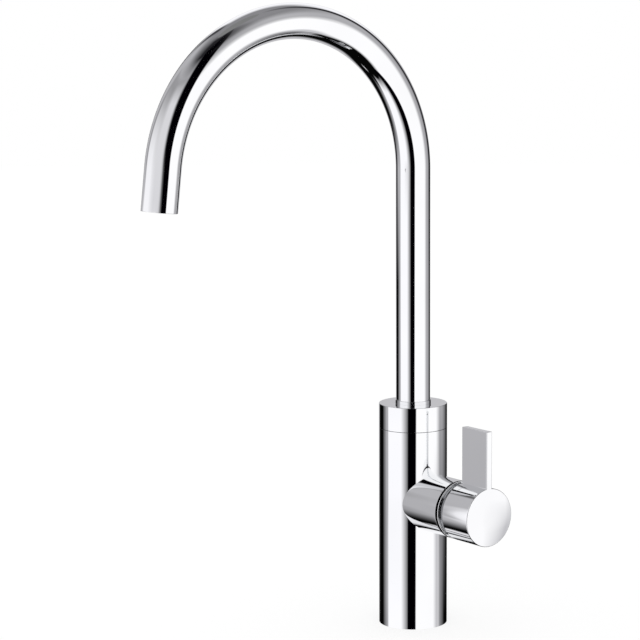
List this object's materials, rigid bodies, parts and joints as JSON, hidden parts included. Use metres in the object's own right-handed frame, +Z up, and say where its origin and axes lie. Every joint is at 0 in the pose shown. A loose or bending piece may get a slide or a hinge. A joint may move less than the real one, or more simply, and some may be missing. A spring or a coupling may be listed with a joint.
{
  "type": "kitchen tap",
  "caption": "Tall swan-neck kitchen tap in polished chrome with a round body and one flat-bladed side lever for hot, cold and filtered water.",
  "frame": {"origin": "centre of the base on the worktop plane, at the mouth of the fixing stud hole", "axes": "+Z up along the body, +X from the body axis out through the lever, -Y the way the spout points at rest"},
  "size_m": [0.1105, 0.2561, 0.4564],
  "materials": {
    "polished_chrome": "mirror polished chrome plate on brass",
    "chrome_trim": "bright chrome trim",
    "brass": "machined brass",
    "copper_pipe": "drawn copper pipe",
    "steel": "stainless steel",
    "cartridge_plastic": "moulded acetal",
    "dark_plastic": "moulded acetal",
    "ceramic": "lapped alumina ceramic",
    "seal_rubber": "moulded rubber",
    "inner_hose": "food grade polyethylene tube"
  },
  "bodies": {
    "tap_body": {"body_casing": "polished_chrome", "top_collar": "polished_chrome", "spout_foot_ring": "chrome_trim", "upper_glide_ring": "dark_plastic", "lower_glide_ring": "dark_plastic", "swivel_stop_screw": "steel", "filtered_nipple": "brass", "base_insert": "brass", "base_seal": "seal_rubber", "hot_feed_tube": "copper_pipe", "cold_feed_tube": "copper_pipe", "filtered_feed_tube": "copper_pipe", "cartridge_base": "cartridge_plastic", "port_seals": "seal_rubber", "fixed_ceramic_disc": "ceramic", "cartridge_housing": "cartridge_plastic", "cartridge_nut": "brass", "trim_dome": "chrome_trim"},
    "spout": {"spout_tube": "polished_chrome", "spout_shank": "brass", "spout_o_rings": "seal_rubber", "inner_tube_coupling": "brass", "coupling_o_ring": "seal_rubber", "filtered_water_tube": "inner_hose", "aerator_housing": "chrome_trim", "aerator_insert": "cartridge_plastic", "aerator_seal": "seal_rubber", "filtered_nozzle": "chrome_trim"},
    "rotor": {"cartridge_carrier": "dark_plastic", "pivot_pin": "steel"},
    "disc_slider": {"moving_ceramic_disc": "ceramic", "disc_driver": "dark_plastic"},
    "lever": {"cartridge_stem": "steel", "lever_handle": "polished_chrome", "handle_grub_screw": "steel", "grub_screw_plug": "chrome_trim"}
  },
  "joints": [
    {"name": "spout_swivel", "type": "hinge", "parent": "tap_body", "child": "spout", "pos_m": [0, 0, 0.146], "axis": [0, 0, 1], "range_deg": [-60, 60]},
    {"name": "lever_turn", "type": "hinge", "parent": "tap_body", "child": "rotor", "pos_m": [0.044, 0, 0.093], "axis": [1, 0, 0], "range_deg": [-50, 90]},
    {"name": "lever_tilt", "type": "hinge", "parent": "rotor", "child": "lever", "pos_m": [0.044, 0, 0.093], "axis": [0, 1, 0], "range_deg": [0, 20]},
    {"name": "disc_slide", "type": "slide", "parent": "rotor", "child": "disc_slider", "axis": [0, 0, 1], "range_m": [0, 0.0065]}
  ],
  "couplings": [
    {"joint": "disc_slide", "follows": "lever_tilt", "m_per_rad": 0.0178}
  ]
}
